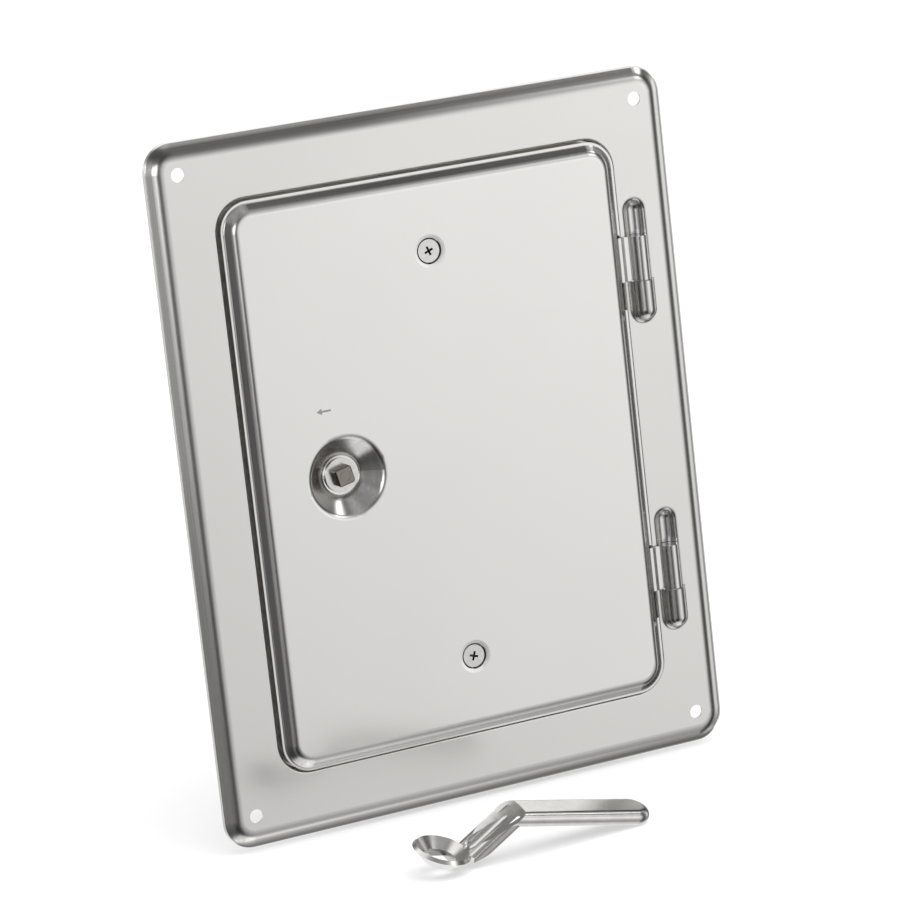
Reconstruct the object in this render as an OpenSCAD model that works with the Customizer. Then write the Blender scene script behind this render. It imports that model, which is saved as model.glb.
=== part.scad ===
// Chimney cleanout door: a pressed wall frame, a hinged leaf with a latch, and a loose socket key.
// All sizes are in millimetres. The back of the frame lies on the wall plane y = 0 and the face looks to -Y.

/* [Frame] */
// Width of the frame over its outer edges
frame_w = 200; // [190:1:240]
// Height of the frame over its outer edges
frame_h = 250; // [235:1:320]
// Sheet thickness of the frame
frame_t = 0.8; // [0.7:0.1:0.9]
// Height of the frame's front face above the wall
frame_rise = 3.5; // [3.4:0.1:3.8]
// Corner radius of the frame's outer edge
frame_corner_r = 10.5; // [9:0.5:14]
// Width of the sloping part of the frame's rim
rim_run = 6.0; // [5.8:0.1:7]
// Width of the flat lip that lies on the wall
rim_lip = 0.4; // [0.4:0.1:0.8]
// Inner radius of the rim's bend at the front face
rim_bend_r = 5.7; // [4:0.1:5.9]
// Radius of the rim's bend at its flat lip
rim_foot_r = 0.5; // [0.4:0.1:0.7]
// Distance of the fixing holes from the outer edges
fixing_inset = 11.5; // [10.5:0.5:13]
// Diameter of the fixing holes
fixing_hole_d = 5.0; // [4:0.5:6]

/* [Pocket and throat] */
// Distance from the frame's outer edge to the pocket's wall
frame_band = 23.25; // [22.75:0.25:26]
// Depth of the pocket below the frame's face
pocket_depth = 5.0; // [4.6:0.1:6.5]
// Corner radius of the pocket's wall
pocket_corner_r = 11; // [10.5:0.5:14]
// Inner radius of the bend at the pocket's upper edge
pocket_bend_r = 0.2; // [0.1:0.1:0.4]
// Radius of the bend at the pocket's floor
pocket_foot_r = 0.4; // [0.3:0.1:0.6]
// Distance from the pocket's wall to the throat opening
throat_inset = 11.75; // [11.75:0.25:15]
// Corner radius of the throat opening
throat_corner_r = 6.0; // [4:0.5:9]
// Wall thickness of the throat collar
collar_t = 1.0; // [0.8:0.1:1.5]
// Length of the throat collar behind the pocket floor
collar_len = 45; // [35:1:90]
// Width of the collar's flange behind the pocket floor
collar_flange = 7.0; // [5:0.5:9]

/* [Door leaf] */
// Gap between the leaf's edge and the pocket's wall
leaf_gap = 0.5; // [0.4:0.1:1.0]
// Sheet thickness of the leaf
leaf_t = 0.8; // [0.6:0.1:1.0]
// Height of the leaf's face above the frame's face
leaf_rise = 4.6; // [4.4:0.1:5.2]
// Drop from the leaf's face to its edge lip
leaf_drop = 2.8; // [2.6:0.1:3.2]
// Width of the sloping part of the leaf's rim
leaf_run = 4.9; // [4.6:0.1:5.3]
// Width of the leaf's flat edge lip
leaf_lip = 0.6; // [0.5:0.1:1.0]
// Inner radius of the leaf's bend at its face
leaf_bend_r = 2.9; // [1:0.1:3.1]
// Radius of the leaf's bend at its edge lip
leaf_foot_r = 1.0; // [0.5:0.1:1.2]

/* [Hinges] */
// Distance of the hinge axis from the pocket's wall
hinge_offset = 7.0; // [6.9:0.1:7.4]
// Distance of the hinge barrels' centres from the leaf's upper and lower edges
hinge_inset = 44.25; // [36:0.25:60]
// Length of a hinge barrel
barrel_len = 16; // [12:0.5:20]
// Diameter of the hinge pins inside their barrels
pin_d = 5.0; // [4.6:0.1:5.1]
// Length of pin below the barrel
pin_project = 11.5; // [8:0.5:16]
// Radial clearance of the pin in its socket
pin_clear = 0.08; // [0.04:0.01:0.1]
// Gap between barrel and trough
trough_clear = 0.7; // [0.35:0.05:0.7]
// Length of the straight trough above the barrel
trough_above = 9; // [4:0.5:12]
// Gap between the barrel's lower end and the socket
barrel_end_gap = 0.3; // [0.2:0.1:0.6]
// Depth of the relief notches in the leaf beside the tabs
tab_notch = 1.4; // [0.6:0.1:1.8]
// Step down of the hinge tabs just outside the leaf's edge
tab_step = 0.6; // [0.4:0.1:0.7]

/* [Latch] */
// Distance of the latch spindle from the leaf's free edge
latch_inset = 35.25; // [34:0.25:42]
// Diameter of the latch dimple at the leaf's face
dimple_d = 30.6; // [28:0.1:32]
// Diameter of the dimple's flat floor
dimple_floor_d = 13.6; // [13.2:0.1:15]
// Inner radius of the bend at the dimple's upper edge
dimple_bend_r = 2.0; // [1:0.1:3]
// Radius of the bend at the dimple's floor
dimple_foot_r = 0.6; // [0.4:0.1:0.8]
// Depth of the latch dimple
dimple_depth = 6.1; // [5.5:0.1:6.5]
// Turn of the spindle's square at rest, in degrees
latch_turn_rest = 13; // [0:1:15]
// Width across the flats of the spindle's front square
square_af = 6.5; // [6:0.1:7]
// Diameter over the turned corners of the front square
square_corner_d = 8.2; // [7.8:0.1:8.4]
// Length of the front square
square_len = 3.1; // [2:0.1:4]
// Width of the chamfers round the square's front face
square_edge = 0.5; // [0.2:0.1:0.7]
// Diameter of the spindle's collar
collar_d = 12.3; // [11:0.1:12.6]
// Thickness of the spindle's collar
collar_disc_t = 0.9; // [0.6:0.1:1.2]
// Diameter of the spindle's journal
journal_d = 8.0; // [7.4:0.1:8.4]
// Radial clearance of the journal in its bearing
journal_clear = 0.05; // [0.03:0.01:0.1]
// Width across the flats of the spindle's rear square
rear_square_af = 6.0; // [5.6:0.1:6.4]
// Outer diameter of the bearing sleeve
bearing_d = 12; // [11:0.5:13]
// Thickness of the thrust washer
thrust_t = 2.3; // [2.3:0.1:3]
// Diameter of the thrust washer
thrust_d = 16; // [14:0.5:18]
// Thickness of the latch bar
bar_t = 3.0; // [2:0.5:4]
// Width of the latch bar
bar_w = 14; // [12:0.5:16]
// Gap between the latch bar's tip and the throat wall when locked
bar_tip_gap = 1.6; // [1.4:0.1:3]
// Thickness of the latch keeper's sheet
keeper_t = 1.5; // [1:0.1:1.5]
// Reach of the keeper's catch from the throat wall
keeper_reach = 8.0; // [6:0.5:8.5]
// Length of the keeper along the throat wall
keeper_len = 36; // [28:1:40]

/* [Cover and insulation] */
// Distance of the cover screws from the leaf's upper and lower edges
cover_inset = 28.05; // [26:0.25:34]
// Diameter of the cover screws' heads
cover_head_d = 8.2; // [7.6:0.1:8.4]
// Depth of the screw heads below the leaf's face
cover_head_depth = 1.1; // [0.8:0.1:1.4]
// Diameter of the cover screws' shanks
cover_screw_d = 4.0; // [3.5:0.1:4.2]
// Outer diameter of the spacer sleeves
spacer_d = 8.0; // [7.6:0.1:9]
// Radial room round a screw in its holes
screw_room = 0.15; // [0.1:0.05:0.25]
// Sheet thickness of the rear tray
tray_t = 0.8; // [0.6:0.1:0.9]
// Gap between the rear tray's wall and the throat collar
tray_gap = 3.5; // [3.5:0.1:5]
// Depth of the rear tray behind the leaf's inner face
tray_depth = 19.0; // [18:0.5:26]
// Thickness of the insulation board
board_t = 12.2; // [8:0.1:12.2]
// Radius of the door seal's rope
seal_r = 4.0; // [3.4:0.1:4.0]
// Gap between the seal and the pocket floor
seal_gap = 0.3; // [0.3:0.1:0.6]

/* [Socket key] */
// Width across the flats of the key's square hole
key_square = 6.7; // [6.7:0.1:7.4]
// Diameter of the key's cup over its rim
key_cup_d = 20.6; // [19:0.1:23]
// Height of the cup's rim above its base
key_cup_h = 3.6; // [3.2:0.1:4.6]
// Sheet thickness of the key
key_t = 1.5; // [1.2:0.1:1.8]
// Height of the handle's top above the cup's base
key_rise = 20.3; // [16:0.1:24]
// Distance from the cup's centre to the tip of the handle
key_reach = 80; // [70:1:100]
// Width of the handle
key_w = 13; // [12:0.5:15]
// Depth of the handle's turned-down edges
key_edge = 3.0; // [2.9:0.1:3.4]

/* [Hidden] */
$fn = 48;
steel = [0.80, 0.81, 0.82];
sheet_grey = [0.76, 0.77, 0.78];
dark_grey = [0.35, 0.36, 0.38];
zinc = [0.70, 0.72, 0.74];
board_colour = [0.86, 0.83, 0.74];
rope_colour = [0.90, 0.89, 0.84];

// Length of flat sheet that a bend's section takes in, and how far its arcs stand past true tangency
bend_lap = 0.3;
bend_ease = 0.002;

// Largest sum of the two radii that a step of this run and drop can take
function largest_bend(run, drop) = (run * run + drop * drop) / (2 * drop) - 0.3;

// Heights above the wall
plate_h = frame_rise;
floor_h = plate_h - pocket_depth;
face_h = plate_h + leaf_rise;
inner_h = face_h - leaf_t;
lip_h = face_h - leaf_drop;
axis_h = lip_h - leaf_t / 2;
dimple_h = face_h - dimple_depth;
tray_h = inner_h - tray_depth;
tray_back_h = tray_h - tray_t;
shoulder_h = tray_back_h - 0.1 - thrust_t;
bar_back_h = shoulder_h - bar_t;
catch_h = tray_back_h - 0.5;

// Rim of the frame
rim_drop = plate_h - frame_t;
rim_w = rim_run + rim_lip;
rim_top_r = min(rim_bend_r, largest_bend(rim_run, rim_drop) - frame_t - rim_foot_r);

// Pocket, throat and leaf outlines
pocket_w = frame_w - 2 * frame_band;
pocket_ht = frame_h - 2 * frame_band;
pocket_crease = pocket_bend_r + frame_t;
pocket_run = pocket_bend_r + pocket_foot_r + frame_t;
throat_w = pocket_w - 2 * throat_inset;
throat_ht = pocket_ht - 2 * throat_inset;
leaf_w = pocket_w - 2 * leaf_gap;
leaf_ht = pocket_ht - 2 * leaf_gap;
leaf_corner_r = pocket_corner_r - leaf_gap;
leaf_rim_w = leaf_run + leaf_lip;
leaf_top_r = min(leaf_bend_r, largest_bend(leaf_run, leaf_drop) - leaf_t - leaf_foot_r);

// Hinge line and pressings
hinge_z = [leaf_ht / 2 - hinge_inset, hinge_inset - leaf_ht / 2];
pin_r = pin_d / 2;
barrel_r = pin_r + leaf_t;
axis_up = axis_h - plate_h;
trough_r = min(barrel_r + trough_clear, axis_h - frame_t - 0.1);
trough_edge_r = 1.2;
trough_edge_top = trough_edge_r + frame_t;
trough_edge_x = sqrt(pow(trough_r + trough_edge_top, 2) - pow(axis_up + trough_edge_top, 2));
trough_a = atan2(axis_up + trough_edge_top, trough_edge_x);
socket_in = barrel_r + pin_clear;
socket_out = socket_in + frame_t;
foot_x = socket_out + axis_up;
axis_x = pocket_w / 2 + max(hinge_offset, pocket_crease + foot_x + 0.2);
cut_z = barrel_len / 2 + barrel_end_gap;
dome_z = barrel_len / 2 + pin_project - 0.6;

// Latch position and fits
latch_x = latch_inset - leaf_w / 2;
bearing_r = journal_d / 2 + journal_clear;
bar_dir = 90 + latch_turn_rest;
bar_reach = (throat_w / 2 + latch_x) - bar_tip_gap - 0.4;

// Cover fixing
cover_z = leaf_ht / 2 - cover_inset;
head_edge = 0.2;
head_r = cover_head_d / 2;
head_h = face_h - cover_head_depth;
shank_r = cover_screw_d / 2;
cone_k = head_h - head_edge - head_r;
seat_bend_r = 0.5;
seat_top_r = seat_bend_r + leaf_t;
seat_crease = face_h - cone_k + seat_top_r * (sqrt(2) - 1);
seat_hole_r = shank_r + 2 * screw_room;
spacer_in = shank_r + screw_room;
cone_back_k = cone_k - leaf_t * sqrt(2);
spacer_lap = 1.1;

// Rear tray, board and seal
tray_w = throat_w - 2 * tray_gap;
tray_ht = throat_ht - 2 * tray_gap;
tray_corner_r = 5.0;
tray_bend_r = 0.8;
tray_run = 2 * tray_bend_r + tray_t;
tray_flange = 3.7;
seal_in = leaf_rim_w + seal_r * 0.2;
seal_stem = min(seal_in + 3.5, leaf_w / 2 - tray_w / 2 - tray_bend_r - tray_flange - 0.3);
seal_h = floor_h + seal_gap + seal_r;

// Key pose: cup centre, then roll, tilt and yaw
key_pos = [-52.2, -73.5, -frame_h / 2 + 2.6];
key_turn = [17.54, 13.07, 5.9];
key_base_r = 6.2;
key_slope = 49;
key_shoulder = 2.8;
key_cup_a = atan2(key_cup_h, key_cup_d / 2 - key_base_r);
knee_x = key_cup_d / 2 - 1.4 + (key_rise - key_cup_h) / tan(key_slope);

// Turns a plan drawing, with height above the wall as z, upright against the wall
module stand() {
  rotate([90, 0, 0]) children();
}

// Part of a flat ring between two angles less than 120 degrees apart
module arc_band(r_in, r_out, a1, a2) {
  far = 2 * r_out;
  intersection() {
    difference() {
      circle(r = r_out);
      circle(r = r_in);
    }
    polygon([[0, 0], [far * cos(a1), far * sin(a1)], [far * cos(a2), far * sin(a2)]]);
  }
}

// What lies under one face of a bent sheet that steps down by drop over run; down is the depth of that face
// below the sheet's top, r1 the radius of its outward bend and r2 of its inward bend
module joggle_under(run, drop, down, c1, c2, r1, r2, a, side) {
  difference() {
    union() {
      polygon([
        [-side, c1 + r1], [0, c1 + r1], [r1 * sin(a), c1 + r1 * cos(a)],
        [run - r2 * sin(a), c2 - r2 * cos(a)], [run, c2 - r2], [run + side, c2 - r2],
        [run + side, -12 - down], [-side, -12 - down]]);
      translate([0, c1]) circle(r = r1 + bend_ease);
    }
    translate([run, c2]) circle(r = r2 + bend_ease);
  }
}

// Section of a bent sheet whose top steps down by drop over run; r_hi is the inner radius of its upper bend
// and r_lo that of its lower one. It takes in bend_lap of flat at either end
module joggle(run, drop, t, r_hi, r_lo) {
  rest = drop - r_hi - t - r_lo;
  a = min(90, asin((r_hi + t + r_lo) / sqrt(run * run + rest * rest)) + atan2(rest, run));
  intersection() {
    difference() {
      joggle_under(run, drop, 0, drop - r_hi - t, r_lo, r_hi + t, r_lo, a, 4);
      joggle_under(run, drop, 1, drop - r_hi - t, r_lo, r_hi, r_lo + t, a, 5);
    }
    translate([-bend_lap, -t - 1]) square([run + 2 * bend_lap, drop + t + 2]);
  }
}

// Rectangle with rounded corners
module rounded(w, h, r) {
  square([w - 2 * r, h], center = true);
  square([w, h - 2 * r], center = true);
  for (x = [-1, 1], y = [-1, 1]) translate([x * (w / 2 - r), y * (h / 2 - r)]) circle(r = r);
}

// Carries a section, drawn with x = 0 on the outline, once round a rounded rectangle
module ring_sweep(w, h, r) {
  for (k = [0, 1, 2, 3]) {
    a = k % 2 == 0 ? w : h;
    b = k % 2 == 0 ? h : w;
    rotate(90 * k) {
      translate([a / 2, b / 2 - r, 0]) rotate([90, 0, 0]) linear_extrude(b - 2 * r) children();
      translate([a / 2 - r, b / 2 - r, 0]) rotate_extrude(angle = 90) translate([r, 0]) children();
    }
  }
}

// Straight length of a section along the hinge line, from z1 up to z2
module along(z1, z2) {
  translate([0, z2, 0]) rotate([90, 0, 0]) linear_extrude(z2 - z1) children();
}

// What lies under one face of the trough behind the barrel: in_r is the trough's radius, edge_r that of its
// edges
module trough_under(in_r, edge_r, down, side) {
  mx = in_r * cos(trough_a);
  my = axis_up - in_r * sin(trough_a);
  difference() {
    union() {
      polygon([
        [-side, edge_r - trough_edge_top], [-trough_edge_x, edge_r - trough_edge_top], [-mx, my],
        [0, axis_up], [mx, my], [trough_edge_x, edge_r - trough_edge_top], [side, edge_r - trough_edge_top],
        [side, -12 - down], [-side, -12 - down]]);
      for (x = [-1, 1]) translate([x * trough_edge_x, -trough_edge_top]) circle(r = edge_r + bend_ease);
    }
    translate([0, axis_up]) circle(r = in_r + bend_ease);
  }
}

// Section of the trough, with bend_lap of flat sheet on either side
module trough_section() {
  intersection() {
    difference() {
      trough_under(trough_r, trough_edge_top, 0, 7);
      trough_under(trough_r + frame_t, trough_edge_r, 1, 8);
    }
    translate([-trough_edge_x - bend_lap, -10]) square([2 * (trough_edge_x + bend_lap), 11]);
  }
}

// What lies under one face of the convex socket round the pin
module socket_under(out_r, foot_r, down, side) {
  difference() {
    union() {
      polygon([
        [-side, axis_up - foot_r], [-foot_x, axis_up - foot_r], [-out_r, axis_up], [0, axis_up + out_r / 2],
        [out_r, axis_up], [foot_x, axis_up - foot_r], [side, axis_up - foot_r],
        [side, -12 - down], [-side, -12 - down]]);
      translate([0, axis_up]) circle(r = out_r + bend_ease);
    }
    for (x = [-1, 1]) translate([x * foot_x, axis_up]) circle(r = foot_r + bend_ease);
  }
}

// Section of the socket, with bend_lap of flat sheet on either side
module socket_section() {
  intersection() {
    difference() {
      socket_under(socket_out, axis_up, 0, 8);
      socket_under(socket_in, axis_up + frame_t, 1, 9);
    }
    translate([-foot_x - bend_lap, -6]) square([2 * (foot_x + bend_lap), 14]);
  }
}

// Right half of a section that is the same on both sides
module right_half() {
  intersection() {
    children();
    translate([0, -60]) square(120);
  }
}

module hinge_pressing() {
  top = cut_z + trough_above - barrel_end_gap;
  along(-cut_z, top) trough_section();
  translate([0, top, 0]) rotate_extrude(angle = 180, $fn = 32) right_half() trough_section();
  along(-dome_z, -cut_z) socket_section();
  translate([0, -dome_z, 0]) rotate(180) rotate_extrude(angle = 180, $fn = 32) right_half() socket_section();
}

// Plan opening that a hinge pressing fills
module hinge_window() {
  top = cut_z + trough_above - barrel_end_gap;
  trough_x = trough_edge_x + bend_lap;
  socket_x = foot_x + bend_lap;
  translate([-trough_x, -cut_z]) square([2 * trough_x, top + cut_z]);
  translate([0, top]) circle(r = trough_x, $fn = 32);
  translate([-socket_x, -dome_z]) square([2 * socket_x, dome_z - cut_z]);
  translate([0, -dome_z]) circle(r = socket_x, $fn = 32);
}

module frame_plate() {
  crease_w = pocket_w + 2 * pocket_crease;
  crease_h = pocket_ht + 2 * pocket_crease;
  crease_r = pocket_corner_r + pocket_crease;
  rim_in = rim_w + bend_lap;
  out = 2 * bend_lap;
  floor_in = 2 * pocket_run + 2 * bend_lap;
  color(steel) stand() {
    ring_sweep(frame_w, frame_h, frame_corner_r) {
      translate([-rim_w, frame_t]) joggle(rim_run, rim_drop, frame_t, rim_top_r, rim_foot_r);
      translate([bend_lap - rim_lip, 0]) square([rim_lip - bend_lap, frame_t]);
    }
    translate([0, 0, plate_h - frame_t]) linear_extrude(frame_t) difference() {
      rounded(frame_w - 2 * rim_in, frame_h - 2 * rim_in, frame_corner_r - rim_in);
      rounded(crease_w + out, crease_h + out, crease_r + bend_lap);
      for (z = hinge_z) translate([axis_x, z]) hinge_window();
      for (x = [-1, 1], y = [-1, 1])
        translate([x * (frame_w / 2 - fixing_inset), y * (frame_h / 2 - fixing_inset)])
          circle(d = fixing_hole_d);
    }
    for (z = hinge_z) translate([axis_x, z, plate_h]) hinge_pressing();
    ring_sweep(crease_w, crease_h, crease_r) translate([0, floor_h]) mirror([1, 0])
      joggle(pocket_run, pocket_depth, frame_t, pocket_bend_r, pocket_foot_r, $fn = 32);
    translate([0, 0, floor_h - frame_t]) linear_extrude(frame_t) difference() {
      rounded(crease_w - floor_in, crease_h - floor_in, crease_r - floor_in / 2);
      rounded(throat_w, throat_ht, throat_corner_r);
    }
  }
}

module throat_collar() {
  top_h = floor_h - frame_t;
  color(sheet_grey) stand() {
    translate([0, 0, top_h - collar_len]) linear_extrude(collar_len) difference() {
      rounded(throat_w + 2 * collar_t, throat_ht + 2 * collar_t, throat_corner_r + collar_t);
      rounded(throat_w, throat_ht, throat_corner_r);
    }
    translate([0, 0, top_h - collar_t]) linear_extrude(collar_t) difference() {
      rounded(throat_w + 2 * collar_flange, throat_ht + 2 * collar_flange, throat_corner_r + collar_flange);
      rounded(throat_w, throat_ht, throat_corner_r);
    }
  }
}

// Bent catch on the throat's wall; its rear face thins towards the end where the bar comes in
module latch_keeper() {
  low = -14;
  high = low + keeper_len;
  leg = 7;
  color(zinc) stand() translate([-throat_w / 2, 0, 0]) {
    translate([0, low, catch_h - keeper_t]) cube([keeper_t, keeper_len, leg + keeper_t]);
    rotate([90, 0, 90]) linear_extrude(keeper_reach) polygon([
      [low, catch_h], [high, catch_h], [high, catch_h - keeper_t / 2],
      [high - 8, catch_h - keeper_t], [low, catch_h - keeper_t]]);
  }
}

// Section of a hinge tab and its rolled barrel; the barrel's axis is at the origin
module barrel_section() {
  bend = 1.0;
  half_t = leaf_t / 2;
  low_t = half_t - tab_step;
  join_x = sqrt(pow(barrel_r + bend, 2) - pow(low_t + bend, 2));
  join_a = atan2(low_t + bend, -join_x);
  mid_r = pin_r + half_t;
  far = 2 * barrel_r;
  edge_x = axis_x - leaf_w / 2;
  tab_x = edge_x + leaf_lip - bend_lap;
  difference() {
    union() {
      difference() {
        circle(r = barrel_r);
        polygon([[0, 0], [far * cos(join_a + 12), far * sin(join_a + 12)],
          [far * cos(200), far * sin(200)]]);
      }
      polygon([[-tab_x, half_t], [0.3 - edge_x, half_t], [1.8 - edge_x, low_t], [-join_x, low_t],
        [barrel_r * cos(join_a), barrel_r * sin(join_a)],
        [mid_r * cos(join_a - 6), mid_r * sin(join_a - 6)], [pin_r * cos(join_a), pin_r * sin(join_a)],
        [-join_x, low_t - leaf_t], [1.7 - edge_x, low_t - leaf_t], [0.2 - edge_x, -half_t],
        [-tab_x, -half_t]]);
      intersection() {
        translate([-join_x, low_t + bend]) circle(r = bend + leaf_t + bend_ease);
        translate([-join_x, low_t + bend]) polygon([[0, 0],
          [4 * cos(262), 4 * sin(262)], [4 * cos(300), 4 * sin(300)],
          [4 * cos(178 + join_a), 4 * sin(178 + join_a)]]);
      }
    }
    circle(r = pin_r);
    translate([-join_x, low_t + bend]) circle(r = bend + bend_ease);
  }
}

// What lies under one face of the pressed seat for a countersunk head
module seat_under(k, bend, down, side) {
  x = seat_crease - bend / sqrt(2);
  union() {
    polygon([[seat_hole_r - side, seat_hole_r - side + k], [x, x + k],
      [seat_crease, face_h - seat_top_r + bend], [seat_crease + side, face_h - seat_top_r + bend],
      [seat_crease + side, -12 - down],
      [seat_hole_r - side, -12 - down]]);
    translate([seat_crease, face_h - seat_top_r]) circle(r = bend + bend_ease);
  }
}

// Section of the pressed seat, revolved about the screw
module seat_section() {
  intersection() {
    difference() {
      seat_under(cone_k, seat_top_r, 0, 1.5);
      seat_under(cone_back_k, seat_bend_r, 1, 1.9);
    }
    translate([seat_hole_r, 0]) square([seat_crease + bend_lap - seat_hole_r, 20]);
  }
}

module door_leaf() {
  dimple_run = (dimple_d - dimple_floor_d) / 2;
  rim_in = leaf_rim_w + bend_lap;
  floor_r = dimple_floor_d / 2 - bend_lap;
  color(steel) stand() difference() {
    union() {
      ring_sweep(leaf_w, leaf_ht, leaf_corner_r) {
        translate([-leaf_rim_w, lip_h]) joggle(leaf_run, leaf_drop, leaf_t, leaf_top_r, leaf_foot_r);
        translate([bend_lap - leaf_lip, lip_h - leaf_t]) square([leaf_lip - bend_lap, leaf_t]);
      }
      translate([0, 0, inner_h]) linear_extrude(leaf_t) difference() {
        rounded(leaf_w - 2 * rim_in, leaf_ht - 2 * rim_in, leaf_corner_r - rim_in);
        translate([latch_x, 0]) circle(r = dimple_d / 2 + bend_lap);
        for (z = [-1, 1]) translate([0, z * cover_z]) circle(r = seat_crease + bend_lap);
      }
      translate([latch_x, 0, 0]) rotate_extrude() {
        translate([dimple_d / 2, dimple_h]) mirror([1, 0])
          joggle(dimple_run, dimple_depth, leaf_t, dimple_bend_r, dimple_foot_r);
        translate([bearing_r, dimple_h - leaf_t]) square([floor_r - bearing_r, leaf_t]);
      }
      for (z = [-1, 1]) translate([0, z * cover_z, 0]) rotate_extrude() seat_section();
      for (z = hinge_z) translate([axis_x, z, axis_h])
        along(-barrel_len / 2, barrel_len / 2) barrel_section();
    }
    for (z = hinge_z) {
      translate([leaf_w / 2 - tab_notch, z - barrel_len / 2 - 10, lip_h - 2]) cube([tab_notch + 1, 10, 4]);
      translate([leaf_w / 2 - tab_notch, z + barrel_len / 2, lip_h - 2]) cube([tab_notch + 1, 1.2, 4]);
    }
    translate([latch_x - 9, 24.5, face_h - 0.15]) linear_extrude(1) polygon([
      [0, 0], [2, 1.1], [2, 0.35], [5.5, 0.35], [5.5, -0.35], [2, -0.35], [2, -1.1]]);
  }
}

// Stepped pin: pin_r inside the barrel, and as thick as the barrel below it
module hinge_pin(z) {
  color(zinc) translate([axis_x, -axis_h, z - barrel_len / 2 - pin_project]) {
    cylinder(r1 = barrel_r - 0.8, r2 = barrel_r, h = 0.8);
    translate([0, 0, 0.8]) cylinder(r = barrel_r, h = pin_project - 0.85);
    translate([0, 0, 0.8]) cylinder(r = pin_r, h = pin_project + barrel_len - 0.8);
  }
}

module upper_hinge_pin() {
  hinge_pin(hinge_z[0]);
}

module lower_hinge_pin() {
  hinge_pin(hinge_z[1]);
}

module door_seal() {
  color(rope_colour) stand() ring_sweep(leaf_w, leaf_ht, leaf_corner_r) {
    translate([-seal_in, seal_h]) circle(r = seal_r);
    translate([-seal_stem, seal_h]) square([seal_stem - seal_in + 0.2, inner_h - seal_h]);
  }
}

module insulation_board() {
  side = tray_run + 0.1;
  w = tray_w + 2 * tray_bend_r - 2 * side;
  ht = tray_ht + 2 * tray_bend_r - 2 * side;
  color(board_colour) stand() translate([0, 0, tray_h]) linear_extrude(board_t) difference() {
    rounded(w, ht, tray_corner_r + tray_bend_r - side);
    translate([latch_x, 0]) circle(d = bearing_d + 1);
    for (z = [-1, 1]) translate([0, z * cover_z]) circle(d = spacer_d + 1);
  }
}

module rear_tray() {
  w = tray_w + 2 * tray_bend_r;
  ht = tray_ht + 2 * tray_bend_r;
  r = tray_corner_r + tray_bend_r;
  wall_in = 2 * tray_run + 2 * bend_lap;
  color(sheet_grey) stand() {
    ring_sweep(w, ht, r) {
      translate([0, tray_h]) mirror([1, 0])
        joggle(tray_run, tray_depth, tray_t, tray_bend_r, tray_bend_r, $fn = 32);
      translate([bend_lap, inner_h - tray_t]) square([tray_flange - bend_lap, tray_t]);
    }
    translate([0, 0, tray_back_h]) linear_extrude(tray_t) difference() {
      rounded(w - wall_in, ht - wall_in, r - wall_in / 2);
      translate([latch_x, 0]) circle(r = bearing_r + 0.3);
      for (z = [-1, 1]) translate([0, z * cover_z]) circle(r = shank_r + screw_room);
    }
  }
}

module cover_screw(z, turn) {
  tail_h = tray_back_h - 5.5;
  color(zinc) stand() translate([0, z, 0]) difference() {
    union() {
      translate([0, 0, head_h - head_edge]) cylinder(r = head_r, h = head_edge);
      translate([0, 0, shank_r + cone_k]) cylinder(r1 = shank_r, r2 = head_r, h = head_r - shank_r);
      translate([0, 0, tail_h]) cylinder(r = shank_r, h = shank_r + cone_k - tail_h, $fn = 32);
    }
    for (a = [0, 90]) rotate(turn + a) translate([-1.7, -0.4, head_h - 1.4]) cube([3.4, 0.8, 2]);
  }
}

module upper_cover_screw() {
  cover_screw(cover_z, 21);
}

module lower_cover_screw() {
  cover_screw(-cover_z, -18);
}

// Sleeve round a cover screw; its front end is countersunk to fit the back of the pressed seat
module spacer_sleeve(z) {
  lap_r = seat_hole_r + spacer_lap;
  front_h = lap_r + cone_back_k;
  color(zinc) stand() translate([0, z, 0]) rotate_extrude($fn = 32) polygon([
    [spacer_in, tray_h], [spacer_d / 2, tray_h], [spacer_d / 2, front_h], [lap_r, front_h],
    [seat_hole_r, seat_hole_r + cone_back_k], [spacer_in, seat_hole_r + cone_back_k]]);
}

module upper_spacer_sleeve() {
  spacer_sleeve(cover_z);
}

module lower_spacer_sleeve() {
  spacer_sleeve(-cover_z);
}

module plain_washer(r_in, r_out, t) {
  difference() {
    cylinder(r = r_out, h = t);
    translate([0, 0, -1]) cylinder(r = r_in, h = t + 2);
  }
}

// Hexagon nut with chamfered corners on its rear face
module hex_nut(af, thick, r_in) {
  corner = af / sqrt(3);
  difference() {
    intersection() {
      cylinder(r = corner, h = thick, $fn = 6);
      rotate_extrude() polygon([[0, 0], [af / 2, 0], [corner + 0.3, (corner + 0.3 - af / 2) * 0.55],
        [corner + 0.3, thick], [0, thick]]);
    }
    translate([0, 0, -1]) cylinder(r = r_in, h = thick + 2, $fn = 32);
  }
}

module cover_washer(z) {
  color(zinc) stand() translate([0, z, tray_back_h - 0.8])
    plain_washer(shank_r + screw_room, shank_r + 2.5, 0.8, $fn = 32);
}

module upper_cover_washer() {
  cover_washer(cover_z);
}

module lower_cover_washer() {
  cover_washer(-cover_z);
}

module cover_nut(z) {
  color(zinc) stand() translate([0, z, tray_back_h - 4]) hex_nut(7, 3.2, shank_r + 0.03, $fn = 32);
}

module upper_cover_nut() {
  cover_nut(cover_z);
}

module lower_cover_nut() {
  cover_nut(-cover_z);
}

module bearing_sleeve() {
  front_h = dimple_h - leaf_t;
  color(zinc) stand() translate([latch_x, 0, tray_h])
    plain_washer(bearing_r, bearing_d / 2, front_h - tray_h);
}

// Square bar with a chamfered front; its section in one direction, carried across
module square_profile() {
  half = square_af / 2;
  len = collar_disc_t + square_len;
  translate([0, half + 1, 0]) rotate([90, 0, 0]) linear_extrude(square_af + 2) polygon([
    [-half, 0], [half, 0], [half, len - square_edge], [half - square_edge, len],
    [square_edge - half, len], [-half, len - square_edge]]);
}

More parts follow.
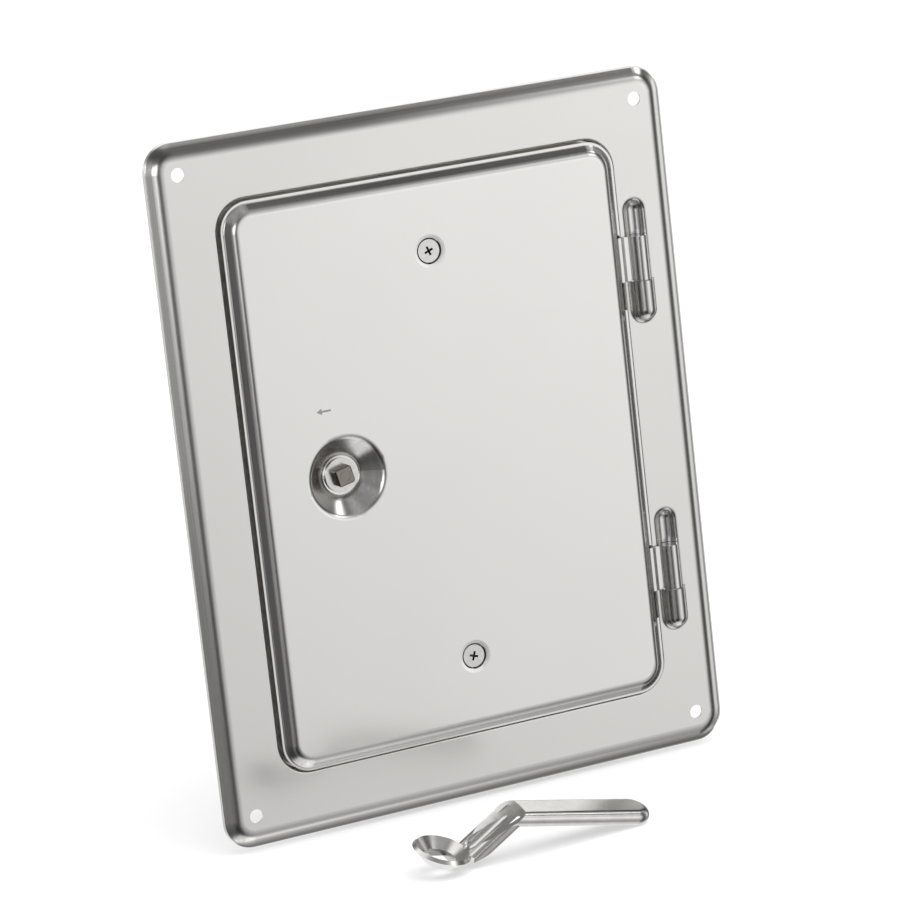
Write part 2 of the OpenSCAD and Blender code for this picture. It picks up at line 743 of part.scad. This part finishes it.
module latch_spindle() {
  collar_h = dimple_h + 0.1;
  end_h = collar_h + collar_disc_t + square_len;
  color(zinc) stand() translate([latch_x, 0, 0]) rotate(latch_turn_rest) {
    translate([0, 0, collar_h]) cylinder(d = collar_d, h = collar_disc_t);
    difference() {
      translate([0, 0, collar_h]) intersection() {
        square_profile();
        rotate(90) square_profile();
        cylinder(d = square_corner_d, h = end_h - collar_h);
      }
      translate([0, 0, end_h - 0.15]) plain_washer(1.75, 2.0, 1, $fn = 32);
    }
    translate([0, 0, shoulder_h]) cylinder(d = journal_d, h = collar_h - shoulder_h);
    intersection() {
      translate([-rear_square_af / 2, -rear_square_af / 2, bar_back_h])
        cube([rear_square_af, rear_square_af, bar_t + 1]);
      translate([0, 0, bar_back_h]) cylinder(d = journal_d, h = bar_t + 1);
    }
    translate([0, 0, bar_back_h - 7.6]) cylinder(d = 5.95, h = 8, $fn = 32);
  }
}

module thrust_washer() {
  color(dark_grey) stand() translate([latch_x, 0, shoulder_h])
    plain_washer(journal_d / 2 + 0.1, thrust_d / 2, thrust_t);
}

// Latch bar: round about the spindle, its tip an arc about the same centre
module latch_bar() {
  color(zinc) stand() translate([latch_x, 0, bar_back_h]) rotate(bar_dir)
    linear_extrude(bar_t) difference() {
      union() {
        circle(d = bar_w);
        intersection() {
          translate([0, -bar_w / 2]) square([bar_reach + 2, bar_w]);
          circle(r = bar_reach);
        }
      }
      square(rear_square_af + 0.1, center = true);
    }
}

module spring_washer() {
  color(dark_grey) stand() translate([latch_x, 0, bar_back_h - 1.5]) difference() {
    plain_washer(3.05, 5.9, 1.5, $fn = 32);
    rotate(bar_dir + 150) translate([2, -0.5, -1]) rotate([20, 0, 0]) cube([5, 0.8, 5]);
  }
}

module latch_nut() {
  color(zinc) stand() translate([latch_x, 0, bar_back_h - 6.5]) hex_nut(10, 5, 3.0, $fn = 32);
}

// Outline under the top of a channel that is w wide, its shoulders rounded with radius r
module channel_under(w, r, depth) {
  translate([-w / 2, -depth]) square([w, depth - r]);
  translate([r - w / 2, -depth]) square([w - 2 * r, depth]);
  for (x = [-1, 1]) translate([x * (w / 2 - r), -r]) circle(r = r);
}

// Section of the key's channel: top sheet at height 0 with its edges turned down
module channel_section(w, r) {
  difference() {
    channel_under(w, r, key_edge);
    translate([0, -key_t]) channel_under(w - 2 * key_t, r - key_t, key_edge + 1);
  }
}

module channel_length(len) {
  rotate([90, 0, 90]) linear_extrude(len) children();
}

// Section of the cup's wall line: a point at a height above the base, moved in from the outer surface
function cup_x(up, in_by) = key_base_r + up / tan(key_cup_a) - in_by / sin(key_cup_a);

// Everything above the cup's inner surface
module cup_room() {
  rotate_extrude() polygon([[0, key_t], [cup_x(key_t, key_t), key_t], [cup_x(30, key_t), 30], [0, 30]]);
}

// Long bead pressed into the crank; the shell keeps only what lies under the sheet
module key_bead(r, shell) {
  intersection() {
    translate([knee_x, 0, key_rise]) rotate([0, -key_slope, 0]) translate([-18.5, 0, 1.2])
      rotate([0, 90, 0]) rotate_extrude($fn = 32) right_half() {
        circle(r = r);
        translate([0, 18]) circle(r = r);
        square([r, 18]);
      }
    translate([knee_x, 0, key_rise]) rotate([0, -key_slope, 0]) translate([-30, -8, -8])
      cube([50, 16, shell ? 8 - key_t / 2 : 12]);
  }
}

// The crank is a little narrower than the handle and ends inside it
module key_crank() {
  difference() {
    intersection() {
      translate([knee_x, 0, key_rise]) rotate([0, -key_slope, 0]) translate([-36, 0, 0])
        channel_length(39) channel_section(key_w - 0.5, key_shoulder - 0.2);
      translate([0, 0, key_rise]) channel_length(knee_x + 12) channel_under(key_w, key_shoulder, 40);
    }
    translate([key_base_r, -15, 0]) rotate([0, -30, 0]) translate([-40, 0, -40]) cube([80, 30, 40]);
    rotate_extrude() polygon([[0, -12], [0, 0], [key_base_r, 0], [key_cup_d / 2, key_cup_h],
      [key_cup_d / 2 + 1.2, key_cup_h], [key_cup_d / 2 + 1.2, -12]]);
  }
}

module key_handle() {
  intersection() {
    translate([knee_x - 5, 0, key_rise]) channel_length(key_reach - key_w / 2 - knee_x + 5)
      channel_section(key_w, key_shoulder);
    translate([knee_x, 0, key_rise]) rotate([0, -key_slope, 0]) translate([-60, -20, -90])
      cube([160, 40, 90]);
  }
  translate([key_reach - key_w / 2, 0, key_rise]) rotate(-90) rotate_extrude(angle = 180)
    right_half() channel_section(key_w, key_shoulder);
}

module key_shape() {
  difference() {
    union() {
      rotate_extrude() polygon([[0, 0], [key_base_r, 0], [key_cup_d / 2, key_cup_h],
        [key_cup_d / 2 - key_t * sin(key_cup_a), key_cup_h + key_t * cos(key_cup_a)],
        [0, key_cup_h + key_t * cos(key_cup_a)]]);
      key_crank();
      key_handle();
      key_bead(3.2 + key_t, true);
    }
    cup_room();
    key_bead(3.2, false);
    translate([-key_square / 2, -key_square / 2, -1]) cube([key_square, key_square, 6]);
  }
}

module socket_key() {
  color(steel) translate(key_pos) rotate(key_turn) key_shape();
}

frame_plate();
throat_collar();
latch_keeper();
door_leaf();
upper_hinge_pin();
lower_hinge_pin();
door_seal();
insulation_board();
rear_tray();
upper_cover_screw();
lower_cover_screw();
upper_spacer_sleeve();
lower_spacer_sleeve();
upper_cover_washer();
lower_cover_washer();
upper_cover_nut();
lower_cover_nut();
bearing_sleeve();
latch_spindle();
thrust_washer();
latch_bar();
spring_washer();
latch_nut();
socket_key();
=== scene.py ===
import math
import bmesh
import bpy
from mathutils import Matrix, Vector


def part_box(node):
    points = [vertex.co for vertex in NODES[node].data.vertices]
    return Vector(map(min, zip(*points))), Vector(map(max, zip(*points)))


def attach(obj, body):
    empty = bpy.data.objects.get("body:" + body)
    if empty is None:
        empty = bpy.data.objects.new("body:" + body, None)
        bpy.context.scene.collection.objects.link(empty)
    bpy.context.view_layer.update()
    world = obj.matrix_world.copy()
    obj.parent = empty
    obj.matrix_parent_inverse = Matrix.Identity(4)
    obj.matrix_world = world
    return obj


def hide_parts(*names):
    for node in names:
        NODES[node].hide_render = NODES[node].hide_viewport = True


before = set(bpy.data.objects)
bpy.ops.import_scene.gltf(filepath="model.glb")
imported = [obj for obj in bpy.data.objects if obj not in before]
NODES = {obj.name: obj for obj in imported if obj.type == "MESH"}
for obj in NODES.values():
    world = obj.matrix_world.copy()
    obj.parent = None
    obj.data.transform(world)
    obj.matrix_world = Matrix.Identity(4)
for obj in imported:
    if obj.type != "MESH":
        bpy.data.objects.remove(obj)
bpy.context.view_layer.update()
scene = bpy.context.scene

# Lengths are in metres, in the CAD model's own frame: X to the hinge side, Y into the wall, Z up
MM = 0.001
frame_low, frame_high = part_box("frame_plate")
screw_low, screw_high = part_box("upper_cover_screw")
seal_low, seal_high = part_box("door_seal")


# Node trees
class Graph:
    """A node tree that is built from empty; its methods give back the socket for the next node."""

    def __init__(self, tree):
        self.tree = tree
        tree.nodes.clear()

    def node(self, kind, inputs=(), **props):
        """A node with its properties set, and its inputs linked to a socket or set to a value."""
        n = self.tree.nodes.new(kind)
        for name, value in props.items():
            setattr(n, name, value)
        for key, value in inputs.items() if isinstance(inputs, dict) else enumerate(inputs):
            self.feed(n, key, value)
        return n

    def feed(self, node, key, value):
        if isinstance(value, bpy.types.NodeSocket):
            self.tree.links.new(value, node.inputs[key])
        else:
            node.inputs[key].default_value = value

    def math(self, operation, *values):
        return self.node("ShaderNodeMath", values, operation=operation).outputs[0]

    def xyz(self, vector):
        return self.node("ShaderNodeSeparateXYZ", [vector]).outputs

    def turned(self, normal, source, target):
        """A normal that is carried over from one space to another."""
        return self.node("ShaderNodeVectorTransform", [normal], vector_type="NORMAL",
                         convert_from=source, convert_to=target).outputs[0]

    def spread(self, value, low, high, at_low=0.0, at_high=1.0):
        """A number that runs from at_low to at_high while the value runs from low to high."""
        return self.node("ShaderNodeMapRange", (value, low, high, at_low, at_high)).outputs[0]

    def mix(self, share, a, b, blend="MIX"):
        """Two colours mixed."""
        return self.node("ShaderNodeMix", {0: share, 6: a, 7: b},
                         data_type="RGBA", blend_type=blend).outputs[2]

    def scaled(self, vector, factor):
        return self.node("ShaderNodeVectorMath", {0: vector, "Scale": factor},
                         operation="SCALE").outputs[0]

    def curve(self, value, stops, low=0.0, high=1.0, mode="LINEAR"):
        """A brightness over a value from low to high, from stops of (value, brightness)."""
        ramp = self.node("ShaderNodeValToRGB", [self.spread(value, low, high)])
        ramp.color_ramp.interpolation = mode
        elements = ramp.color_ramp.elements
        while len(elements) < len(stops):
            elements.new(0.5)
        for element, (at, level) in zip(elements, stops):
            element.position = (at - low) / (high - low)
        for element, (at, level) in zip(elements, stops):
            element.color = (level, level, level, 1)
        return ramp.outputs["Color"]


class Material(Graph):
    """A material with a Principled shader on its output."""

    def __init__(self, name):
        self.data = bpy.data.materials.new(name)
        self.data.use_nodes = True
        super().__init__(self.data.node_tree)
        self.shader = self.node("ShaderNodeBsdfPrincipled")
        self.out = self.node("ShaderNodeOutputMaterial", {"Surface": self.shader.outputs[0]})

    def place(self):
        """Where a point lies, in the model's frame."""
        return self.node("ShaderNodeTexCoord").outputs["Object"]

    def normal(self):
        """The surface's normal, in the world."""
        return self.node("ShaderNodeNewGeometry").outputs["Normal"]

    def set(self, **values):
        for name, value in values.items():
            self.feed(self.shader, name.replace("_", " "), value)

    def so_far(self, name):
        """What is linked to an input of the shader at this moment."""
        return self.shader.inputs[name].links[0].from_socket

    def noise(self, scale, rotation=(0, 0, 0), detail=3.0, rough=0.5, over=None):
        where = self.node("ShaderNodeMapping", {
            "Vector": self.place() if over is None else over, "Scale": scale,
            "Rotation": rotation})
        return self.node("ShaderNodeTexNoise", {
            "Vector": where.outputs[0], "Scale": 1.0, "Detail": detail,
            "Roughness": rough}).outputs["Fac"]

    def bump(self, height, strength, depth):
        self.set(Normal=self.node("ShaderNodeBump", {
            "Strength": strength, "Distance": depth, "Height": height}).outputs[0])


def shade(colour, factor=1.0):
    return (*[c * factor for c in colour], 1)


# Kinds of surface
def steel(name, colour, rough, grain, vary):
    """Rolled sheet or machined steel: a fine grain, and slight clouds in colour and gloss."""
    m = Material(name)
    streak = m.noise(grain, detail=4)
    cloud = m.noise((22, 22, 22))
    m.set(Base_Color=m.mix(1.0, m.mix(cloud, shade(colour, 0.95), shade(colour)),
                           m.curve(streak, [(0.3, 1 - vary), (0.7, 1 + vary)]), "MULTIPLY"),
          Roughness=m.curve(cloud, [(0.3, rough - 0.04), (0.7, rough + 0.04)]),
          Metallic=1.0)
    m.bump(streak, 0.15, 0.02 * MM)
    return m


def pressed_sheet(name, colour, rough):
    """Bright rolled sheet: calm on its flats, with drawing streaks along its bent rims."""
    calm, streaky = 0.02, 0.42
    m = Material(name)
    facing = m.xyz(m.turned(m.normal(), "WORLD", "OBJECT"))
    cloud = m.noise((14, 14, 14), detail=2)
    along_z = m.noise((1500, 1500, 9))
    along_x = m.noise((9, 1500, 1500))
    # 0 where the normal points up or down, 1 where it looks to a side
    sideways = m.spread(m.math("ABSOLUTE", facing["X"]), 0.03, 0.12)
    streak = m.node("ShaderNodeMix", {0: sideways, 2: along_x, 3: along_z},
                    data_type="FLOAT").outputs[0]
    # 0 on the flats, 1 on the bent rims and pressings
    bent = m.spread(m.math("ABSOLUTE", facing["Y"]), 0.998, 0.93)
    height = m.math("MULTIPLY", m.math("SUBTRACT", streak, 0.5),
                    m.spread(bent, 0.0, 1.0, calm, streaky))
    m.set(Base_Color=m.scaled(m.mix(cloud, shade(colour, 0.985), shade(colour)),
                              m.math("ADD", height, 1.0)),
          Roughness=m.curve(cloud, [(0.3, rough - 0.015), (0.7, rough + 0.015)]),
          Metallic=1.0)
    m.bump(height, 0.3, 0.02 * MM)
    return m


def fibre_board(name, colour):
    """Pressed mineral fibre: mottled, matt, with short fibres and small pits."""
    m = Material(name)
    blot = m.noise((90, 90, 90), detail=4)
    fibre = m.noise((260, 1400, 900), rotation=(0.3, 0.2, 0.5), detail=4, rough=0.7)
    pits = m.noise((700, 700, 700), detail=2)
    m.set(Base_Color=m.mix(1.0, m.mix(blot, shade(colour, 0.80), shade(colour)),
                           m.curve(pits, [(0.30, 0.72), (0.42, 1.0)]), "MULTIPLY"),
          Roughness=0.92, Specular_IOR_Level=0.2)
    m.bump(fibre, 0.6, 0.4 * MM)
    return m


def glass_rope(name, colour):
    """Braided glass fibre: bright strands with painted shade in the gaps between them, read from
    the rope's own map.
    """
    m = Material(name)
    braid = m.node("ShaderNodeUVMap", uv_map="braid").outputs["UV"]
    height = m.node("ShaderNodeAttribute", attribute_name="strand").outputs["Fac"]
    hair = m.noise((40, 6, 1), rotation=(0, 0, 0.6), detail=4, over=braid)
    # Painted shade: the base colour darkens where a strand's height is low, in the gaps between
    # strands
    strands = m.mix(1.0, m.curve(height, [(0.15, 0.62), (0.75, 1.0)]),
                    m.curve(hair, [(0.3, 0.86), (0.7, 1.05)]), "MULTIPLY")
    m.set(Base_Color=m.mix(1.0, strands, shade(colour), "MULTIPLY"),
          Roughness=0.7, Sheen_Weight=0.25)
    m.bump(hair, 0.5, 0.3 * MM)
    return m


# Local changes to a surface
def darken_box(m, low, high, dark):
    """A dark base colour inside a box: real dirt where a part has it, and painted shade where it
    stands for the shade in a recess.
    """
    share = 1.0
    for at, a, b in zip(m.xyz(m.place()), low, high):
        share = m.math("MULTIPLY", share, m.math("COMPARE", at, (a + b) / 2, (b - a) / 2))
    m.set(Base_Color=m.mix(share, m.so_far("Base Color"), shade(dark)))


def screw_seats(m, height, joint, bend):
    """Round the two cover screws, at this height above and below the middle: painted shade in the
    joint beside the head, and an outer bend that shades much like the flat beside it."""
    gap_shade_tone, most_like_flat = 0.16, 0.8
    at = m.xyz(m.place())
    above = m.math("SUBTRACT", m.math("ABSOLUTE", at["Z"]), height)
    offset = m.node("ShaderNodeCombineXYZ", [at["X"], above]).outputs[0]
    r = m.node("ShaderNodeVectorMath", [offset], operation="LENGTH").outputs["Value"]
    # Painted shade: the base colour is darkened inside the joint round each screw head
    m.set(Base_Color=m.scaled(m.so_far("Base Color"),
                              m.spread(r, joint - 0.2 * MM, joint, gap_shade_tone, 1.0)))
    flat = m.turned((0, -1, 0), "OBJECT", "WORLD")
    frontal = m.node("ShaderNodeVectorMath", [flat, m.normal()],
                     operation="DOT_PRODUCT").outputs["Value"]
    outside = m.math("MULTIPLY", m.math("GREATER_THAN", frontal, 0.2),
                     m.math("GREATER_THAN", r, joint))
    share = m.math("MULTIPLY", outside,
                   m.spread(r, bend, bend + 0.6 * MM, most_like_flat, 0.0))
    softer = m.node("ShaderNodeMix", {0: share, 4: m.so_far("Normal"), 5: flat},
                    data_type="VECTOR").outputs[1]
    m.set(Normal=m.node("ShaderNodeVectorMath", [softer], operation="NORMALIZE").outputs[0])


def rim_painted_light(m, sides):
    """Painted highlight and painted shade along a pressed rim, over the distance from its edge:
    brighter and darker bands in the base colour that stand in for the light the rim reflects. A
    side is its axis, the edge's place, stops of (millimetres, tone), and the axis and the two
    places between which the tones come in."""
    reach = 7 * MM
    at = m.xyz(m.place())
    for axis, edge, stops, (way, none_at, full_at) in sides:
        depth = m.spread(at[axis], edge, edge - math.copysign(reach, edge))
        tone = m.curve(depth, [(mm * MM / reach, level) for mm, level in stops])
        share = m.spread(at[way], none_at, full_at)
        factor = m.node("ShaderNodeMix", {0: share, 2: 1.0, 3: tone}, data_type="FLOAT").outputs[0]
        # Painted light: the base colour is scaled up for a painted highlight and down for painted
        # shade
        m.set(Base_Color=m.scaled(m.so_far("Base Color"), factor))


# Materials and the nodes that wear them
FRAME_SHEET = pressed_sheet("frame_sheet", (0.70, 0.692, 0.675), 0.22)
ALL_ALONG_X = ("X", -0.11, -0.10)
ALL_ALONG_Z = ("Z", 0.13, 0.12)
# Painted highlight and painted shade on the upper, lower, right and left side of the frame's rim
rim_painted_light(FRAME_SHEET, [
    ("Z", frame_high[2], [(0, 1.4), (1.0, 1.4), (1.7, 1.0), (2.3, 0.50), (3.0, 0.38),
                          (4.4, 0.30), (5.6, 0.5), (7.0, 1.0)], ("X", 0.11, -0.02)),
    ("Z", frame_low[2], [(0, 0.42), (0.8, 0.34), (1.6, 0.42), (2.4, 0.7), (3.0, 1.15),
                         (3.8, 1.35), (5.0, 1.0)], ALL_ALONG_X),
    ("X", frame_high[0], [(0, 0.75), (1.0, 0.8), (1.7, 1.35), (2.8, 1.35), (3.6, 1.0)],
     ALL_ALONG_Z),
    ("X", frame_low[0], [(0, 0.8), (0.7, 1.35), (2.8, 1.35), (3.8, 1.0)], ("Z", -0.03, 0.02))])

LEAF_SHEET = pressed_sheet("leaf_sheet", (0.75, 0.742, 0.725), 0.22)
screw_seats(LEAF_SHEET, (screw_low[2] + screw_high[2]) / 2, 4.7 * MM, 5.4 * MM)
# The small arrow by the latch dimple: its floor, just behind the leaf's face, is darkened as
# painted shade of the sunk mark
ARROW_BOX = (-0.052, -0.00806, 0.0225), (-0.044, -0.0070, 0.0265)
darken_box(LEAF_SHEET, *ARROW_BOX, (0.34, 0.33, 0.32))

SPINDLE = steel("spindle_steel", (0.72, 0.71, 0.69), 0.28, (700, 700, 700), 0.06)
SQUARE_END_Y = -0.00308     # the spindle's square end stands in front of this plane
darken_box(SPINDLE, (-1, -1, -1), (1, SQUARE_END_Y, 1), (0.26, 0.235, 0.21))

SCREW = steel("screw_steel", (0.71, 0.70, 0.69), 0.28, (700, 700, 700), 0.06)
HEAD_DEPTH = 3 * MM         # the cross recess and the head's cone, behind its front face, painted near black as shade
# Painted shade: the cross recess, the head's cone and the shank behind the face are painted near
# black
darken_box(SCREW, (-1, screw_low[1] + 0.1 * MM, -1), (1, screw_low[1] + HEAD_DEPTH, 1),
           (0.05, 0.045, 0.04))

WEARERS = [
    (FRAME_SHEET, ["frame_plate"]),
    (LEAF_SHEET, ["door_leaf"]),
    (steel("key_sheet", (0.80, 0.79, 0.77), 0.26, (300, 300, 300), 0.04), ["socket_key"]),
    (steel("inner_sheet", (0.50, 0.50, 0.50), 0.38, (900, 900, 12), 0.05),
     ["throat_collar", "rear_tray"]),
    (SPINDLE, ["latch_spindle"]),
    (SCREW, ["upper_cover_screw", "lower_cover_screw"]),
    (steel("zinc_steel", (0.52, 0.53, 0.55), 0.36, (400, 400, 400), 0.08),
     ["latch_keeper", "upper_hinge_pin", "lower_hinge_pin", "upper_spacer_sleeve",
      "lower_spacer_sleeve", "upper_cover_washer", "lower_cover_washer", "upper_cover_nut",
      "lower_cover_nut", "bearing_sleeve", "latch_bar", "latch_nut"]),
    (steel("dark_steel", (0.10, 0.10, 0.11), 0.40, (400, 400, 400), 0.08),
     ["thrust_washer", "spring_washer"]),
    (fibre_board("mineral_board", (0.84, 0.79, 0.68)), ["insulation_board"])]
for material, names in WEARERS:
    for name in names:
        slots = NODES[name].data.materials
        slots.clear()
        slots.append(material.data)


# Door seal: a braided rope in its bed of stove cement, laid round the inside of the leaf's rim
def ring_path(half_w, half_h, r, step):
    """Points round a rounded rectangle in X and Z, each with its outward direction and its way
    along the ring, and the ring's length."""
    points = []
    way = 0.0
    corner_steps = 8
    for quarter in range(4):
        a, b = (half_w, half_h) if quarter % 2 == 0 else (half_h, half_w)
        turn = math.radians(90 * quarter)
        cos, sin = math.cos(turn), math.sin(turn)
        side = 2 * (b - r)
        steps = max(2, round(side / step))
        for i in range(steps):
            y = -(b - r) + side * i / steps
            points.append((a * cos - y * sin, a * sin + y * cos, cos, sin, way + side * i / steps))
        way += side
        for i in range(corner_steps):
            t = math.radians(90.0 * i / corner_steps)
            x, y = a - r + r * math.cos(t), b - r + r * math.sin(t)
            points.append((x * cos - y * sin, x * sin + y * cos,
                           math.cos(turn + t), math.sin(turn + t), way + r * t))
        way += r * math.pi / 2
    return points, way


def ring_piece(name, path, around, section, material):
    """A closed ring: section gives, round each point of the path, the outward offset, the depth,
    the braid's height and the two coordinates of its map."""
    verts, faces, heights, uvs = [], [], [], []
    for x, z, out_x, out_z, way in path:
        for j in range(around):
            out, y, height, u, v = section(j / around, way)
            verts.append((x + out_x * out, y, z + out_z * out))
            heights.append(height)
            uvs.append((u, v))
    for i in range(len(path)):
        here, there = i * around, (i + 1) % len(path) * around
        for j in range(around):
            beside = (j + 1) % around
            faces.append((here + j, here + beside, there + beside, there + j))
    mesh = bpy.data.meshes.new(name)
    mesh.from_pydata(verts, [], faces)
    mesh.update()
    strand = mesh.attributes.new("strand", "FLOAT", "POINT")
    strand.data.foreach_set("value", heights)
    braid = mesh.uv_layers.new(name="braid")
    for loop in mesh.loops:
        braid.data[loop.index].uv = uvs[loop.vertex_index]
    piece = bpy.data.objects.new(name, mesh)
    scene.collection.objects.link(piece)
    bm = bmesh.new()
    bm.from_mesh(mesh)
    bmesh.ops.recalc_face_normals(bm, faces=bm.faces)
    bm.to_mesh(mesh)
    bm.free()
    for p in mesh.polygons:
        p.use_smooth = True
    mesh.materials.append(material.data)
    return piece


ROPE_R = 4 * MM
ROPE_CORNER_R = 4.2 * MM
ROPE_STEP = 1.2 * MM
ROPE_AROUND = 40
STRANDS = 8
LAY = 24 * MM               # way along the rope in which a strand goes round once
UNDER_CAD = 0.02 * MM       # the braid stays this far inside the CAD ring
GROOVE = 0.42 * MM          # depth of the gaps between strands
PASSED_UNDER = 0.35         # height of a strand where another one covers it
rope_y = seal_high[1] - ROPE_R
rope_path, rope_len = ring_path(seal_high[0] - ROPE_R, seal_high[2] - ROPE_R, ROPE_CORNER_R,
                                ROPE_STEP)
rope_turns = round(rope_len / LAY)


def rope_section(t, way):
    """Two sets of strands that cross and pass over and under each other."""
    twist = way / rope_len * rope_turns
    one = math.sin(math.pi * STRANDS * (t + twist))
    other = math.sin(math.pi * STRANDS * (t - twist))
    over = 0.5 + 0.5 * math.tanh(4 * one * other)
    rise = 1 - PASSED_UNDER
    height = max(abs(one) * (PASSED_UNDER + rise * over),
                 abs(other) * (PASSED_UNDER + rise * (1 - over)))
    r = ROPE_R - UNDER_CAD - GROOVE * (1 - height)
    angle = 2 * math.pi * t
    return (r * math.cos(angle), rope_y + r * math.sin(angle), height,
            t * STRANDS, way / LAY * STRANDS)


BED_FRONT, BED_REAR = seal_low[1], rope_y - 1.2 * MM
BED_SHOULDER = BED_REAR - 1.2 * MM
BED = [(-0.1 * MM, BED_FRONT), (-0.5 * MM, BED_SHOULDER), (-0.9 * MM, BED_REAR),
       (-2.6 * MM, BED_REAR), (-2.9 * MM, BED_SHOULDER), (-3.4 * MM, BED_FRONT)]


def bed_section(t, way):
    return (*BED[round(t * len(BED)) % len(BED)], 0.5, t, way)


ROPE = glass_rope("glass_rope", (0.88, 0.86, 0.80))
CEMENT = steel("seal_bed", (0.30, 0.29, 0.28), 0.60, (300, 300, 300), 0.10)
for piece in (ring_piece("seal_rope", rope_path, ROPE_AROUND, rope_section, ROPE),
              ring_piece("seal_bed", rope_path, len(BED), bed_section, CEMENT)):
    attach(piece, "door")
    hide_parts("door_seal")


# Camera: its place and its directions were solved from the photograph's corners
CAMERA_AT = (-0.61348, -1.33056, 0.2889)
CAMERA_RIGHT = Vector((0.89274, -0.43719, -0.10903))
CAMERA_DOWN = Vector((-0.18146, -0.12734, -0.97512))
CAMERA_AHEAD = Vector((0.41242, 0.89031, -0.19302))
cam_data = bpy.data.cameras.new("camera")
cam_data.sensor_width = 36.0
cam_data.lens = 168.74
cam_data.clip_start, cam_data.clip_end = 0.1, 20.0
cam = bpy.data.objects.new("camera", cam_data)
scene.collection.objects.link(cam)
scene.camera = cam
turn = Matrix((CAMERA_RIGHT, -CAMERA_DOWN, -CAMERA_AHEAD)).transposed()
cam.matrix_world = Matrix.Translation(CAMERA_AT) @ turn.to_4x4()

# Floor: the camera sees it white with the object's shadow, the metal sees only the studio light
FLOOR_Z = -0.127
bpy.ops.mesh.primitive_plane_add(size=8, location=(0, 0, FLOOR_Z))
floor = bpy.context.object
floor.name = "floor"
white_floor = Material("floor_white")
white_floor.set(Base_Color=shade((0.9, 0.9, 0.9)), Roughness=0.9, Specular_IOR_Level=0.0)
ray = white_floor.node("ShaderNodeLightPath").outputs
glow = white_floor.math("MULTIPLY", ray["Is Camera Ray"], 0.55)
pale = white_floor.node("ShaderNodeMixShader", [
    glow, white_floor.shader.outputs[0], white_floor.node("ShaderNodeEmission").outputs[0]])
seen = white_floor.node("ShaderNodeMixShader", [
    ray["Is Glossy Ray"], pale.outputs[0],
    white_floor.node("ShaderNodeBsdfTransparent").outputs[0]])
white_floor.feed(white_floor.out, "Surface", seen.outputs[0])
floor.data.materials.append(white_floor.data)

# Studio light as a world: a brightness over the compass direction, in degrees from +X to +Y,
# times one over the height, from -1 straight below to 1 straight above, plus small lamps
COMPASS = [(-180, 0.03), (-160, 0.04), (-150, 0.10), (-141, 0.28), (-134, 0.28), (-126, 0.08),
           (-115, 0.05), (-100, 0.06), (-90, 0.24), (-82, 0.60), (-75, 0.80), (-69, 0.92),
           (-64, 1.05), (-54, 1.14), (-45, 0.72), (-35, 0.22), (-28, 0.08), (-14, 0.08),
           (-6, 0.30), (3, 0.80), (10, 0.85), (14, 0.60), (18, 0.25), (24, 0.08), (36, 0.10),
           (50, 0.55), (65, 0.90), (115, 0.90), (140, 0.50), (160, 0.10), (180, 0.03)]
HEIGHT = [(-1, 0.3), (-0.85, 0.3), (-0.55, 0.5), (-0.36, 0.72), (-0.27, 0.91), (-0.19, 1.02),
          (-0.11, 1.14), (-0.03, 1.22), (0.12, 1.1), (0.35, 0.65), (0.6, 0.40), (0.8, 0.38),
          (1, 0.36)]
# Direction, radius in degrees and strength of each lamp
LAMPS = [
    ((-0.02, -0.22, -0.97), 32, 0.8),   # the white floor, below
    ((0.30, 0.55, -0.78), 40, 0.65),    # the same, further back
    ((-0.50, -0.86, 0.10), 16, 2.2),    # soft box at the left, seen in the left corners
    ((0.68, -0.24, 0.69), 8, 4.0),      # lamp at the right, seen in the latch dimple
    ((0.61, -0.65, 0.46), 11, 1.5),     # lamp at the front, lights the key by way of the door
    ((-0.35, -0.50, 0.79), 36, 0.25),   # weak fill from the upper left
    ((-0.25, 0.35, 0.90), 40, 1.0)]     # broad lamp overhead, for the key's crank
FULL_SHARE = 0.6                        # a lamp is at full strength inside this share of its radius

world = bpy.data.worlds.new("world")
scene.world = world
world.use_nodes = True
sky = Graph(world.node_tree)
toward = sky.node("ShaderNodeTexCoord").outputs["Generated"]
toward_xyz = sky.xyz(toward)
compass = sky.math("ARCTAN2", toward_xyz["Y"], toward_xyz["X"])
light = sky.mix(1.0,
                sky.curve(compass, [(math.radians(a), b) for a, b in COMPASS],
                          -math.pi, math.pi),
                sky.curve(toward_xyz["Z"], HEIGHT, -1.0, 1.0), "MULTIPLY")
for direction, radius, strength in LAMPS:
    nearness = sky.node("ShaderNodeVectorMath", [toward, Vector(direction).normalized()],
                        operation="DOT_PRODUCT").outputs["Value"]
    edge = math.cos(math.radians(radius))
    full = math.cos(math.radians(radius * FULL_SHARE))
    lamp = sky.curve(nearness, [(-1, 0.0), (edge, 0.0), (full, strength), (1, strength)],
                     -1.0, 1.0, "EASE")
    light = sky.mix(1.0, light, lamp, "ADD")
studio = sky.node("ShaderNodeBackground", {"Color": light})
white = sky.node("ShaderNodeBackground", {"Color": (1, 1, 1, 1)})
camera_ray = sky.node("ShaderNodeLightPath").outputs["Is Camera Ray"]
both = sky.node("ShaderNodeMixShader", [camera_ray, studio.outputs[0], white.outputs[0]])
sky.node("ShaderNodeOutputWorld", {"Surface": both.outputs[0]})

# Soft light from above the front, for the floor and its shadow only
sun = bpy.data.lights.new("floor_light", "SUN")
sun.energy = 3.4
sun.angle = math.radians(70)
sun_ob = bpy.data.objects.new("floor_light", sun)
scene.collection.objects.link(sun_ob)
sun_ob.rotation_euler = Vector((-0.1, 0.45, -1.0)).to_track_quat("-Z", "Y").to_euler()
sun_ob.visible_glossy = False

scene.view_settings.view_transform = "Standard"
